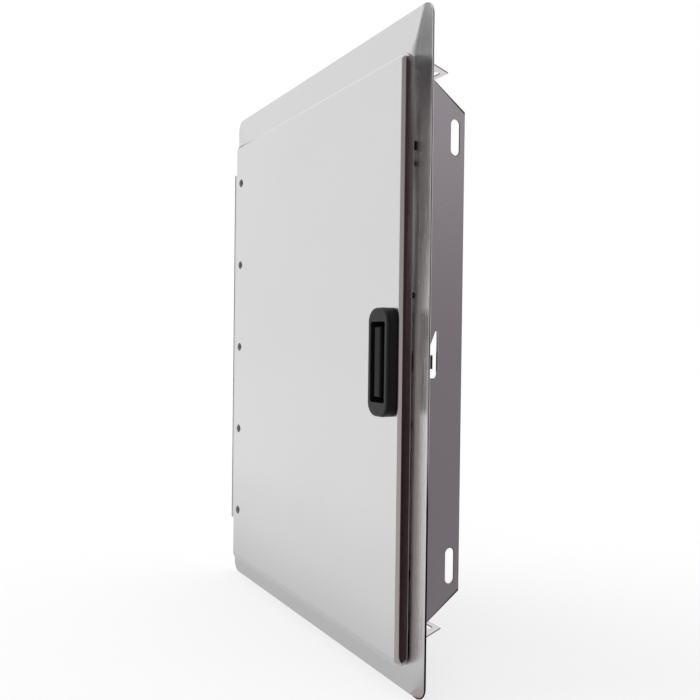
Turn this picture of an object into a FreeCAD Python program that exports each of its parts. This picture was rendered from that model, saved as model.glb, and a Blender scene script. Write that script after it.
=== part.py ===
"""Built-in vertical access door for an outdoor kitchen island.

A hemmed face frame with two folded side walls and two welded walls carries a double-walled door on a
continuous hinge. The door has a moulded flush latch whose bolt slides through a window in the side wall.

Millimetres. The origin is the centre of the cut-out in the plane of the island's face, where the flange's hem rests.
+X is to the right and +Z up as seen from outside, and +Y points into the island.
"""

import FreeCAD, Part
import os

from FreeCAD import Vector

# Sheet and hem of the face frame
SHEET = 1.0
FLANGE_SIDE_OVERLAP = 33.35
FLANGE_END_OVERLAP = 31.75
FLANGE_CORNER_RADIUS = 12.7
HEM_WIDTH = 8.0
HEM_ROUND = 0.9

# Box that goes into the cut-out
BOX_WIDTH = 355.6
BOX_HEIGHT = 508.0
SIDE_WALL_DEPTH = 57.0
END_WALL_DEPTH = 58.0
LIP_HEIGHT = 15.25
BEND_INSIDE_RADIUS = 0.8
BEND_RELIEF = 2.0
SIDE_WALL_CHAMFER_START = 19.0
SIDE_WALL_CHAMFER_DROP = 28.0
END_WALL_TAPER = 26.7
END_WALL_TAPER_START = 2.0
END_WALL_FOOT = 12.0

# Slots for the mounting screws
SLOT_WIDTH = 9.3
SLOT_LENGTH = 31.4
SLOT_FROM_REAR_EDGE = 10.2
SIDE_SLOT_FROM_REAR_CORNER = 7.55
END_SLOT_FROM_REAR_CORNER = 2.5

# Window that the latch bolt goes through, one in each side wall so that the door can be hung on either side
WINDOW_START = 12.0
WINDOW_LENGTH = 18.0
WINDOW_BOTTOM = -22.5
WINDOW_STEP = -1.0
WINDOW_STEP_LENGTH = 8.5
WINDOW_TOP = 18.0
WINDOW_TOP_LENGTH = 1.6
WINDOW_CORNER_RADIUS = 3.0
RIM_BEAD_RADIUS = 0.8

# Door pan, with its overlaps round the opening of the face frame
DOOR_RIGHT_OVERLAP = 12.05
DOOR_LEFT_OVERLAP = 6.2
DOOR_TOP_OVERLAP = 11.75
DOOR_BOTTOM_OVERLAP = 26.25
DOOR_DEPTH = 12.0
DOOR_GAP = 1.0
DOOR_SHEET = 1.0
DOOR_CORNER_RADIUS = 11.0
DOOR_END_ROLL = 10.0
DOOR_SIDE_BEND = 4.5
DOOR_REAR_BEND = 1.6
RETURN_LIP = 9.0
LINER_SHEET = 0.8
LINER_BESIDE_LEAF = 5.0

# Continuous hinge
BARREL_RADIUS = 3.0
LEAF_SHEET = 1.0
PIN_CLEARANCE = 0.05
HINGE_LENGTH = 426.0
KNUCKLES = 17
KNUCKLE_GAP = 0.3
KNUCKLE_RELIEF = 0.35
BARREL_BESIDE_DOOR = 8.15
DOOR_LEAF_WIDTH = 27.0
FRAME_LEAF_WIDTH = 10.0

# Rivets
RIVET_FROM_HINGE_END = 13.0
RIVET_COUNT = 5
RIVET_SHANK_RADIUS = 2.0
DOOR_RIVET_FROM_BARREL = 22.0
DOOR_RIVET_HEAD_RADIUS = 5.0
DOOR_RIVET_HEAD_HEIGHT = 2.0
DOOR_RIVET_TAIL_RADIUS = 3.0
DOOR_RIVET_TAIL_LENGTH = 3.0
FRAME_RIVET_FROM_BARREL = 8.5
FRAME_RIVET_HEAD_RADIUS = 3.6
FRAME_RIVET_HEAD_HEIGHT = 1.2
FRAME_RIVET_TAIL_RADIUS = 2.9
FRAME_RIVET_TAIL_LENGTH = 0.9
LINER_RIVET_RADIUS = 1.6
LINER_RIVET_HEAD_RADIUS = 3.0
LINER_RIVET_HEAD_HEIGHT = 0.7
LINER_RIVET_HEAD_ROUND = 0.4
LINER_RIVET_TAIL_RADIUS = 2.1
LINER_RIVET_TAIL_LENGTH = 1.6
SIDE_LINER_RIVETS = 4
SIDE_LINER_RIVET_PITCH = 110.0
END_LINER_RIVETS = 3
FASTENER_FIT = 0.05

# Rubber bumpers
BUMPER_RADIUS = 4.0
BUMPER_RUNNING_GAP = 0.2
SIDE_BUMPER_SPACING = 360.0
END_BUMPER_X = -110.0

# Latch housing
HANDLE_WIDTH = 32.4
HANDLE_HEIGHT = 92.0
HANDLE_PROUD = 9.6
HANDLE_CORNER_RADIUS = 12.0
HANDLE_EDGE_RADIUS = 2.5
HANDLE_FROM_WALL = 8.25
HANDLE_BELOW_CENTRE = 8.75
GASKET = 0.8
GASKET_INSET = 0.6
BEZEL_SIDE_LAND = 3.2
BEZEL_END_LAND = 6.0
BODY_CORNER_RADIUS = 3.0
BODY_FIT = 0.25
RECESS_WIDTH = 22.0
RECESS_HEIGHT = 68.0
RECESS_DEPTH = 16.6
RECESS_CORNER_RADIUS = 2.0
RECESS_RIM_ROUND = 0.6
GUIDE_WALL = 2.2
GUIDE_END = 27.5

# Latch slide
SLIDE_TRAVEL = 8.0
SLIDE_CLEARANCE = 0.3
BAR_WIDTH = 10.4
BAR_HEIGHT = 60.0
BAR_BELOW_RIM = 1.5
BAR_FROM_RECESS_EDGE = 3.1
BAR_EDGE_RADIUS = 1.8
FINGER_SCOOP_RADIUS = 9.0
FINGER_SCOOP_DEPTH = 1.4
BOLT_HEIGHT = 12.0
STEM_WIDTH = 6.0
STEM_FROM_BAR_EDGE = 1.5
BOLT_FRONT_GAP = 0.5
BOLT_DEPTH = 16.8
BOLT_BEHIND_STEM = 4.0
NOSE_SHORT_OF_WALL = 2.6
NOSE_CHAMFER = 1.2

# Slide screw and friction spring
SCREW_RADIUS = 1.5
SCREW_HEAD_RADIUS = 2.8
SCREW_HEAD_HEIGHT = 2.0
SLIDE_SCREW_LENGTH = 30.0
SPRING_SHEET = 0.3
SPRING_WIDTH = 5.0
SPRING_LENGTH = 9.0
SPRING_POCKET = 2.0

# Back plate of the latch
PLATE_SHEET = 1.2
PLATE_END_MARGIN = 6.0
PLATE_LEFT_MARGIN = 4.3
PLATE_LIP_GAP = 0.35
HOUSING_SCREW_LENGTH = 14.0
HOUSING_SCREW_FROM_BODY_END = 3.0

# Widths and heights that follow from the sizes above
FLANGE_WIDTH = BOX_WIDTH + 2 * FLANGE_SIDE_OVERLAP
FLANGE_HEIGHT = BOX_HEIGHT + 2 * FLANGE_END_OVERLAP
OPENING_HEIGHT = BOX_HEIGHT - 2 * LIP_HEIGHT
SIDE_WALL_REAR_HEIGHT = OPENING_HEIGHT - 2 * SIDE_WALL_CHAMFER_DROP
BODY_WIDTH = HANDLE_WIDTH - 2 * BEZEL_SIDE_LAND
BODY_HEIGHT = HANDLE_HEIGHT - 2 * BEZEL_END_LAND
RIVET_PITCH = (HINGE_LENGTH - 2 * RIVET_FROM_HINGE_END) / (RIVET_COUNT - 1)
KNUCKLE_PITCH = HINGE_LENGTH / KNUCKLES

# Planes that follow from the sizes above, all as Y
FLANGE_FRONT = -2 * SHEET
FLANGE_SHEET_REAR = -SHEET
DOOR_REAR = FLANGE_FRONT - DOOR_GAP
DOOR_FACE = DOOR_REAR - DOOR_DEPTH
SKIN_INSIDE = DOOR_FACE + DOOR_SHEET
LINER_REAR = DOOR_REAR - DOOR_SHEET
LINER_FRONT = LINER_REAR - LINER_SHEET
PLATE_REAR = LINER_REAR + PLATE_SHEET
HANDLE_FRONT = DOOR_FACE - HANDLE_PROUD
RECESS_FLOOR = HANDLE_FRONT + RECESS_DEPTH
BAR_FRONT = HANDLE_FRONT + BAR_BELOW_RIM
BAR_REAR = RECESS_FLOOR - SLIDE_CLEARANCE
WINDOW_END = WINDOW_START + WINDOW_LENGTH
BOLT_FRONT = WINDOW_START + BOLT_FRONT_GAP
BOLT_REAR = BOLT_FRONT + BOLT_DEPTH

# Places that follow from the sizes above, as X or Z
WALL_OUTSIDE = BOX_WIDTH / 2
WALL_INSIDE = WALL_OUTSIDE - SHEET
DOOR_RIGHT = WALL_INSIDE + DOOR_RIGHT_OVERLAP
DOOR_LEFT = -WALL_INSIDE - DOOR_LEFT_OVERLAP
DOOR_TOP = OPENING_HEIGHT / 2 + DOOR_TOP_OVERLAP
DOOR_BOTTOM = -OPENING_HEIGHT / 2 - DOOR_BOTTOM_OVERLAP
DOOR_MIDDLE = (DOOR_TOP + DOOR_BOTTOM) / 2
LIP_MIDDLE = DOOR_SHEET + RETURN_LIP / 2
AXIS_X = DOOR_LEFT - BARREL_BESIDE_DOOR
AXIS_Y = SKIN_INSIDE + BARREL_RADIUS
LINER_LEFT = AXIS_X + DOOR_LEAF_WIDTH + LINER_BESIDE_LEAF
BORE_RADIUS = BARREL_RADIUS - LEAF_SHEET
PIN_RADIUS = BORE_RADIUS - PIN_CLEARANCE
HANDLE_X = WALL_INSIDE - HANDLE_FROM_WALL
HANDLE_Z = -HANDLE_BELOW_CENTRE
BAR_LEFT = HANDLE_X - RECESS_WIDTH / 2 + BAR_FROM_RECESS_EDGE
STEM_LEFT = BAR_LEFT + STEM_FROM_BAR_EDGE
STEM_RIGHT = STEM_LEFT + STEM_WIDTH
STEM_MIDDLE = STEM_LEFT + STEM_WIDTH / 2
BOLT_LEFT = STEM_LEFT - BOLT_BEHIND_STEM
NOSE_TIP = WALL_INSIDE - NOSE_SHORT_OF_WALL
GUIDE_LEFT = BOLT_LEFT - SLIDE_CLEARANCE - GUIDE_WALL
GUIDE_RIGHT = STEM_RIGHT + SLIDE_CLEARANCE
GUIDE_HEIGHT = BOLT_HEIGHT + 2 * SLIDE_CLEARANCE + 2 * GUIDE_WALL
SLOT_IN_FLOOR_RIGHT = STEM_RIGHT + SLIDE_TRAVEL + SLIDE_CLEARANCE
HOUSING_SCREW_OFFSET = BODY_HEIGHT / 2 - HOUSING_SCREW_FROM_BODY_END
HOUSING_SCREW_TIP = PLATE_REAR - HOUSING_SCREW_LENGTH


def block(x0, x1, y0, y1, z0, z1):
    return Part.makeBox(x1 - x0, y1 - y0, z1 - z0, Vector(x0, y0, z0))


def prism(points, direction):
    """Solid between a flat outline and its copy moved along the direction."""
    corners = [Vector(*point) for point in points]
    return Part.Face(Part.makePolygon(corners + corners[:1])).extrude(Vector(*direction))


def edges_where(shape, wanted):
    """Edges whose bounding box passes a test."""
    return [edge for edge in shape.Edges if wanted(edge.BoundBox)]


def near(value, target):
    return abs(value - target) < 0.01


def along_y(box):
    return box.XLength < 0.01 and box.ZLength < 0.01


def rounded_plate(width, height, radius, y0, y1, x=0.0, z=0.0):
    """Plate parallel to the island's face with four rounded corners."""
    plate = block(x - width / 2, x + width / 2, y0, y1, z - height / 2, z + height / 2)
    return plate.makeFillet(radius, edges_where(plate, along_y))


def post(radius, y0, y1, x, z):
    """Cylinder along Y."""
    return Part.makeCylinder(radius, y1 - y0, Vector(x, y0, z), Vector(0, 1, 0))


def slot_cutter(centre, long_axis, through_axis):
    """Obround cutter, its length along one axis and its depth along another."""
    radius = SLOT_WIDTH / 2
    offset = long_axis * (SLOT_LENGTH / 2 - radius)
    side = long_axis.cross(through_axis) * radius
    start = centre - through_axis * (SLOT_WIDTH / 2)
    a = start - offset + side
    b = start + offset + side
    c = start + offset - side
    d = start - offset - side
    far_end = start + offset + long_axis * radius
    near_end = start - offset - long_axis * radius
    outline = [Part.makeLine(a, b), Part.Arc(b, far_end, c).toShape(), Part.makeLine(c, d),
               Part.Arc(d, near_end, a).toShape()]
    return Part.Face(Part.Wire(outline)).extrude(through_axis * SLOT_WIDTH)


def mirrored(shape, axis):
    return shape.mirror(Vector(0, 0, 0), axis)


def rivet_heights(count, pitch):
    return [(index - (count - 1) / 2) * pitch for index in range(count)]


def export(shape, name):
    shape.exportStep(os.path.join("parts", name + ".step"))


# Face frame

def window_cutter():
    """Tall window whose upper part leans back to its rear edge."""
    outline = [(WINDOW_START, WINDOW_BOTTOM), (WINDOW_END, WINDOW_BOTTOM), (WINDOW_END, WINDOW_TOP),
               (WINDOW_END - WINDOW_TOP_LENGTH, WINDOW_TOP), (WINDOW_START + WINDOW_STEP_LENGTH, WINDOW_STEP),
               (WINDOW_START, WINDOW_STEP)]
    cutter = prism([(WALL_INSIDE - 1, y, z) for y, z in outline], (SHEET + 2, 0, 0))
    low_corners = edges_where(cutter, lambda b: near(b.ZMin, WINDOW_BOTTOM) and near(b.ZLength, 0)
                              and near(b.YLength, 0))
    return cutter.makeFillet(WINDOW_CORNER_RADIUS, low_corners)


def side_wall():
    """Right side wall, with its slots, its window and the bead on the window's rear edge."""
    half = OPENING_HEIGHT / 2 - BEND_RELIEF
    rear = SIDE_WALL_REAR_HEIGHT / 2
    outline = [(WALL_INSIDE, FLANGE_FRONT, -half), (WALL_INSIDE, SIDE_WALL_CHAMFER_START, -half),
               (WALL_INSIDE, SIDE_WALL_DEPTH, -rear), (WALL_INSIDE, SIDE_WALL_DEPTH, rear),
               (WALL_INSIDE, SIDE_WALL_CHAMFER_START, half), (WALL_INSIDE, FLANGE_FRONT, half)]
    wall = prism(outline, (SHEET, 0, 0))
    slot_z = rear - SIDE_SLOT_FROM_REAR_CORNER - SLOT_LENGTH / 2
    for z in (-slot_z, slot_z):
        centre = Vector(WALL_INSIDE, SIDE_WALL_DEPTH - SLOT_FROM_REAR_EDGE, z)
        wall = wall.cut(slot_cutter(centre, Vector(0, 0, 1), Vector(1, 0, 0)))
    wall = wall.cut(window_cutter())
    bead_low = WINDOW_BOTTOM + WINDOW_CORNER_RADIUS
    bead_high = WINDOW_TOP - WINDOW_TOP_LENGTH
    low_end = Vector(WALL_OUTSIDE, WINDOW_END + RIM_BEAD_RADIUS, bead_low)
    high_end = Vector(WALL_OUTSIDE, WINDOW_END + RIM_BEAD_RADIUS, bead_high)
    bead = Part.makeCylinder(RIM_BEAD_RADIUS, bead_high - bead_low, low_end)
    bead = bead.fuse([Part.makeSphere(RIM_BEAD_RADIUS, end) for end in (low_end, high_end)])
    return wall.fuse(bead.cut(block(0, WALL_INSIDE + SHEET / 2, 0, SIDE_WALL_DEPTH, -BOX_HEIGHT, BOX_HEIGHT)))


def face_frame():
    flange = rounded_plate(FLANGE_WIDTH, FLANGE_HEIGHT, FLANGE_CORNER_RADIUS, FLANGE_FRONT, 0)
    rims = edges_where(flange, lambda b: b.YLength < 0.01)
    flange = flange.makeFillet(HEM_ROUND, rims)
    inner_width = FLANGE_WIDTH - 2 * HEM_WIDTH
    inner_height = FLANGE_HEIGHT - 2 * HEM_WIDTH
    flange = flange.cut(rounded_plate(inner_width, inner_height, FLANGE_CORNER_RADIUS - HEM_WIDTH / 2,
                                      FLANGE_SHEET_REAR, 1))
    flange = flange.cut(block(-WALL_INSIDE, WALL_INSIDE, FLANGE_FRONT - 1, 1,
                              -OPENING_HEIGHT / 2, OPENING_HEIGHT / 2))
    relief_right = WALL_OUTSIDE + BEND_RELIEF
    for z in (-OPENING_HEIGHT / 2, OPENING_HEIGHT / 2 - BEND_RELIEF):
        flange = flange.cut(block(-relief_right, relief_right, FLANGE_FRONT - 1, 1, z, z + BEND_RELIEF))
    wall = side_wall()
    frame = flange.fuse([wall, mirrored(wall, Vector(1, 0, 0))]).removeSplitter()
    for side in (-1, 1):
        inner_bend = edges_where(frame, lambda b: near(b.XMin, side * WALL_OUTSIDE) and near(b.XLength, 0)
                                 and near(b.YMin, FLANGE_SHEET_REAR) and near(b.YLength, 0)
                                 and b.ZLength > OPENING_HEIGHT / 2)
        frame = frame.makeFillet(BEND_INSIDE_RADIUS, inner_bend)
        outer_bend = edges_where(frame, lambda b: near(b.XMin, side * WALL_INSIDE) and near(b.XLength, 0)
                                 and near(b.YMin, FLANGE_FRONT) and near(b.YLength, 0)
                                 and b.ZLength > OPENING_HEIGHT / 2)
        frame = frame.makeFillet(BEND_INSIDE_RADIUS + SHEET, outer_bend)
    return frame


def top_wall():
    """Angle whose foot lies behind the lip above the opening."""
    top = BOX_HEIGHT / 2
    half_front = WALL_OUTSIDE
    half_rear = WALL_OUTSIDE - END_WALL_TAPER
    outline = [(-half_front, FLANGE_SHEET_REAR, top), (half_front, FLANGE_SHEET_REAR, top),
               (half_front, END_WALL_TAPER_START, top), (half_rear, END_WALL_DEPTH, top),
               (-half_rear, END_WALL_DEPTH, top), (-half_front, END_WALL_TAPER_START, top)]
    wall = prism(outline, (0, 0, -SHEET))
    foot = block(-half_front, half_front, FLANGE_SHEET_REAR, 0, top - END_WALL_FOOT, top)
    slot_x = half_rear - END_SLOT_FROM_REAR_CORNER - SLOT_LENGTH / 2
    for x in (-slot_x, slot_x):
        centre = Vector(x, END_WALL_DEPTH - SLOT_FROM_REAR_EDGE, top)
        wall = wall.cut(slot_cutter(centre, Vector(1, 0, 0), Vector(0, 0, 1)))
    angle = wall.fuse(foot).removeSplitter()
    inner_bend = edges_where(angle, lambda b: near(b.YMin, 0) and near(b.YLength, 0) and near(b.ZMin, top - SHEET)
                             and b.XLength > half_rear)
    angle = angle.makeFillet(BEND_INSIDE_RADIUS, inner_bend)
    outer_bend = edges_where(angle, lambda b: near(b.YMin, FLANGE_SHEET_REAR) and near(b.YLength, 0)
                             and near(b.ZMin, top) and b.XLength > half_rear)
    return angle.makeFillet(BEND_INSIDE_RADIUS + SHEET, outer_bend)


# Hinge

def knuckle_spans(first):
    """Every second knuckle, as the Z of its lower and upper end."""
    spans = []
    for index in range(first, KNUCKLES, 2):
        lower = -HINGE_LENGTH / 2 + index * KNUCKLE_PITCH + KNUCKLE_GAP / 2
        spans.append((lower, lower + KNUCKLE_PITCH - KNUCKLE_GAP))
    return spans


def barrel(radius, span):
    return Part.makeCylinder(radius, span[1] - span[0], Vector(AXIS_X, AXIS_Y, span[0]))


def leaf_with_knuckles(leaf, own, others):
    """Leaf sheet rolled round the pin at its own knuckles and cut back beside the other leaf's."""
    for span in others:
        wide = (span[0] - KNUCKLE_GAP, span[1] + KNUCKLE_GAP)
        leaf = leaf.cut(barrel(BARREL_RADIUS + KNUCKLE_RELIEF, wide))
    leaf = leaf.fuse([barrel(BARREL_RADIUS, span) for span in own])
    return leaf.cut(barrel(BORE_RADIUS, (-HINGE_LENGTH, HINGE_LENGTH))).removeSplitter()


def hinge_frame_leaf():
    """Leaf that runs back from the barrel and turns onto the flange."""
    low = -HINGE_LENGTH / 2 + KNUCKLE_GAP / 2
    high = -low
    leg_right = AXIS_X + BARREL_RADIUS
    leg = block(leg_right - LEAF_SHEET, leg_right, AXIS_Y, FLANGE_FRONT, low, high)
    foot = block(leg_right - LEAF_SHEET, leg_right - LEAF_SHEET + FRAME_LEAF_WIDTH, FLANGE_FRONT - LEAF_SHEET,
                 FLANGE_FRONT, low, high)
    leaf = leg.fuse(foot).removeSplitter()
    bend = edges_where(leaf, lambda b: near(b.XMin, leg_right - LEAF_SHEET) and near(b.XLength, 0)
                       and near(b.YMin, FLANGE_FRONT) and b.ZLength > KNUCKLE_PITCH)
    leaf = leaf.makeFillet(LEAF_SHEET, bend)
    leaf = leaf_with_knuckles(leaf, knuckle_spans(0), knuckle_spans(1))
    for z in rivet_heights(RIVET_COUNT, RIVET_PITCH):
        leaf = leaf.cut(post(RIVET_SHANK_RADIUS, AXIS_Y, 1, AXIS_X + FRAME_RIVET_FROM_BARREL, z))
    return leaf


def hinge_door_leaf():
    """Leaf that leaves the barrel at its front and lies behind the skin."""
    low = -HINGE_LENGTH / 2 + KNUCKLE_GAP / 2
    leaf = block(AXIS_X, AXIS_X + DOOR_LEAF_WIDTH, SKIN_INSIDE, SKIN_INSIDE + LEAF_SHEET, low, -low)
    leaf = leaf_with_knuckles(leaf, knuckle_spans(1), knuckle_spans(0))
    for z in rivet_heights(RIVET_COUNT, RIVET_PITCH):
        leaf = leaf.cut(post(RIVET_SHANK_RADIUS, DOOR_FACE, AXIS_Y, AXIS_X + DOOR_RIVET_FROM_BARREL, z))
    return leaf


def hinge_pin():
    return barrel(PIN_RADIUS, (-HINGE_LENGTH / 2, HINGE_LENGTH / 2))


def domed_rivet(z):
    """Rivet with a domed head on the door's face and a squeezed tail behind the leaf."""
    x = AXIS_X + DOOR_RIVET_FROM_BARREL
    dome_radius = (DOOR_RIVET_HEAD_RADIUS ** 2 + DOOR_RIVET_HEAD_HEIGHT ** 2) / (2 * DOOR_RIVET_HEAD_HEIGHT)
    centre = Vector(x, DOOR_FACE - DOOR_RIVET_HEAD_HEIGHT + dome_radius, z)
    head = Part.makeSphere(dome_radius, centre).common(
        post(DOOR_RIVET_HEAD_RADIUS, DOOR_FACE - DOOR_RIVET_HEAD_HEIGHT, DOOR_FACE, x, z))
    leaf_rear = SKIN_INSIDE + LEAF_SHEET
    shank = post(RIVET_SHANK_RADIUS - FASTENER_FIT, DOOR_FACE, leaf_rear, x, z)
    tail = Part.makeCone(DOOR_RIVET_TAIL_RADIUS, RIVET_SHANK_RADIUS, DOOR_RIVET_TAIL_LENGTH,
                         Vector(x, leaf_rear, z), Vector(0, 1, 0))
    return head.fuse([shank, tail]).removeSplitter()


def flat_rivet(z):
    """Rivet with a flat head on the fixed leaf and a tail that stays inside the hem's thickness."""
    x = AXIS_X + FRAME_RIVET_FROM_BARREL
    leaf_front = FLANGE_FRONT - LEAF_SHEET
    head = post(FRAME_RIVET_HEAD_RADIUS, leaf_front - FRAME_RIVET_HEAD_HEIGHT, leaf_front, x, z)
    head = head.makeFillet(FRAME_RIVET_HEAD_HEIGHT / 2,
                           edges_where(head, lambda b: near(b.YMin, leaf_front - FRAME_RIVET_HEAD_HEIGHT)
                                       and near(b.YLength, 0)))
    shank = post(RIVET_SHANK_RADIUS - FASTENER_FIT, leaf_front, FLANGE_SHEET_REAR, x, z)
    tail = post(FRAME_RIVET_TAIL_RADIUS, FLANGE_SHEET_REAR, FLANGE_SHEET_REAR + FRAME_RIVET_TAIL_LENGTH, x, z)
    return head.fuse([shank, tail]).removeSplitter()


# Door

LIP_X = DOOR_RIGHT - LIP_MIDDLE
LIP_ENDS = (DOOR_BOTTOM + LIP_MIDDLE, DOOR_TOP - LIP_MIDDLE)


def liner_rivet_places():
    """Places on the return lips, as X and Z."""
    places = [(LIP_X, DOOR_MIDDLE + z) for z in rivet_heights(SIDE_LINER_RIVETS, SIDE_LINER_RIVET_PITCH)]
    end_pitch = (LIP_X - LINER_LEFT) / END_LINER_RIVETS
    for index in range(END_LINER_RIVETS):
        places += [(LINER_LEFT + end_pitch * (index + 0.5), z) for z in LIP_ENDS]
    return places


def bumper_places():
    side = [(LIP_X, DOOR_MIDDLE + z) for z in (-SIDE_BUMPER_SPACING / 2, SIDE_BUMPER_SPACING / 2)]
    return side + [(END_BUMPER_X, z) for z in LIP_ENDS]


def door_block(inset, y0, y1):
    """Solid inside the door's outline: rolled ends, a tighter bend at the side, and the one running into the other
    round the corners."""
    left = DOOR_LEFT - inset
    right = DOOR_RIGHT - inset
    solid = block(left, right, y0, y1, DOOR_BOTTOM + inset, DOOR_TOP - inset)
    solid = solid.makeFillet(DOOR_CORNER_RADIUS - inset,
                             edges_where(solid, lambda b: along_y(b) and near(b.XMin, right)))
    roll = DOOR_END_ROLL - inset
    bend = DOOR_SIDE_BEND - inset
    radii = []
    for number, edge in enumerate(solid.Edges, 1):
        box = edge.BoundBox
        if not (near(box.YMin, y0) and near(box.YLength, 0) and box.XMax > left + 1):
            continue
        if near(box.XLength, 0):
            radii.append((number, bend, bend))
        elif near(box.ZLength, 0):
            radii.append((number, roll, roll))
        elif near(edge.firstVertex(True).X, right):
            radii.append((number, bend, roll))
        else:
            radii.append((number, roll, bend))
    document = FreeCAD.newDocument()
    rounded = document.addObject("Part::Fillet")
    rounded.Base = document.addObject("Part::Feature")
    rounded.Base.Shape = solid
    rounded.Edges = radii
    document.recompute()
    result = rounded.Shape.copy()
    FreeCAD.closeDocument(document.Name)
    return result


def door_skin():
    """Outer pan: face, three folded edges and their return lips."""
    pan = door_block(0, DOOR_FACE, DOOR_REAR)
    rear = edges_where(pan, lambda b: near(b.YMin, DOOR_REAR) and near(b.YLength, 0) and b.XMax > DOOR_LEFT + 1)
    pan = pan.makeFillet(DOOR_REAR_BEND, rear)
    pan = pan.cut(door_block(DOOR_SHEET, SKIN_INSIDE, DOOR_REAR - DOOR_SHEET))
    lip_edge = DOOR_SHEET + RETURN_LIP
    pan = pan.cut(block(DOOR_LEFT - 1, DOOR_RIGHT - lip_edge, DOOR_REAR - DOOR_SHEET - 1, DOOR_REAR + 1,
                        DOOR_BOTTOM + lip_edge, DOOR_TOP - lip_edge))
    pan = pan.cut(rounded_plate(BODY_WIDTH + 2 * BODY_FIT, BODY_HEIGHT + 2 * BODY_FIT, BODY_CORNER_RADIUS + BODY_FIT,
                                DOOR_FACE - 1, SKIN_INSIDE + 1, HANDLE_X, HANDLE_Z))
    for z in rivet_heights(RIVET_COUNT, RIVET_PITCH):
        pan = pan.cut(post(RIVET_SHANK_RADIUS, DOOR_FACE - 1, SKIN_INSIDE + 1, AXIS_X + DOOR_RIVET_FROM_BARREL, z))
    for x, z in liner_rivet_places():
        pan = pan.cut(post(LINER_RIVET_RADIUS, LINER_REAR, DOOR_REAR + 1, x, z))
    return pan


def door_liner():
    """Inner sheet on the return lips, turned forward to the skin beside the hinge leaf."""
    edge = DOOR_SHEET + BODY_FIT
    right = DOOR_RIGHT - edge
    sheet = block(LINER_LEFT, right, LINER_FRONT, LINER_REAR, DOOR_BOTTOM + edge, DOOR_TOP - edge)
    sheet = sheet.makeFillet(DOOR_CORNER_RADIUS - DOOR_SHEET,
                             edges_where(sheet, lambda b: along_y(b) and near(b.XMin, right)))
    turned = block(LINER_LEFT, LINER_LEFT + LINER_SHEET, SKIN_INSIDE, LINER_REAR, DOOR_BOTTOM + edge + DOOR_END_ROLL,
                   DOOR_TOP - edge - DOOR_END_ROLL)
    sheet = sheet.fuse(turned).removeSplitter()
    hole_left = GUIDE_LEFT - BODY_FIT
    hole_half = GUIDE_HEIGHT / 2 + BODY_FIT
    sheet = sheet.cut(block(hole_left, SLOT_IN_FLOOR_RIGHT + BODY_FIT, LINER_FRONT - 1, LINER_REAR + 1,
                            HANDLE_Z - hole_half, HANDLE_Z + hole_half))
    for z in (-HOUSING_SCREW_OFFSET, HOUSING_SCREW_OFFSET):
        sheet = sheet.cut(post(SCREW_RADIUS + FASTENER_FIT, LINER_FRONT - 1, LINER_REAR + 1, HANDLE_X, HANDLE_Z + z))
    for x, z in liner_rivet_places():
        sheet = sheet.cut(post(LINER_RIVET_RADIUS, LINER_FRONT - 1, DOOR_REAR, x, z))
    return sheet


def liner_rivet(x, z):
    head = post(LINER_RIVET_HEAD_RADIUS, DOOR_REAR, DOOR_REAR + LINER_RIVET_HEAD_HEIGHT, x, z)
    head = head.makeFillet(LINER_RIVET_HEAD_ROUND,
                           edges_where(head, lambda b: near(b.YMin, DOOR_REAR + LINER_RIVET_HEAD_HEIGHT)
                                       and near(b.YLength, 0)))
    shank = post(LINER_RIVET_RADIUS - FASTENER_FIT, LINER_FRONT, DOOR_REAR, x, z)
    tail = post(LINER_RIVET_TAIL_RADIUS, LINER_FRONT - LINER_RIVET_TAIL_LENGTH, LINER_FRONT, x, z)
    return head.fuse([shank, tail]).removeSplitter()


def bumper(x, z):
    thickness = DOOR_GAP - BUMPER_RUNNING_GAP
    dot = post(BUMPER_RADIUS, DOOR_REAR, DOOR_REAR + thickness, x, z)
    return dot.makeFillet(thickness / 2, edges_where(dot, lambda b: near(b.YMin, DOOR_REAR + thickness)
                                                     and near(b.YLength, 0)))


# Latch

def housing_screw_holes(radius, y0, y1):
    return [post(radius, y0, y1, HANDLE_X, HANDLE_Z + z) for z in (-HOUSING_SCREW_OFFSET, HOUSING_SCREW_OFFSET)]


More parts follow.
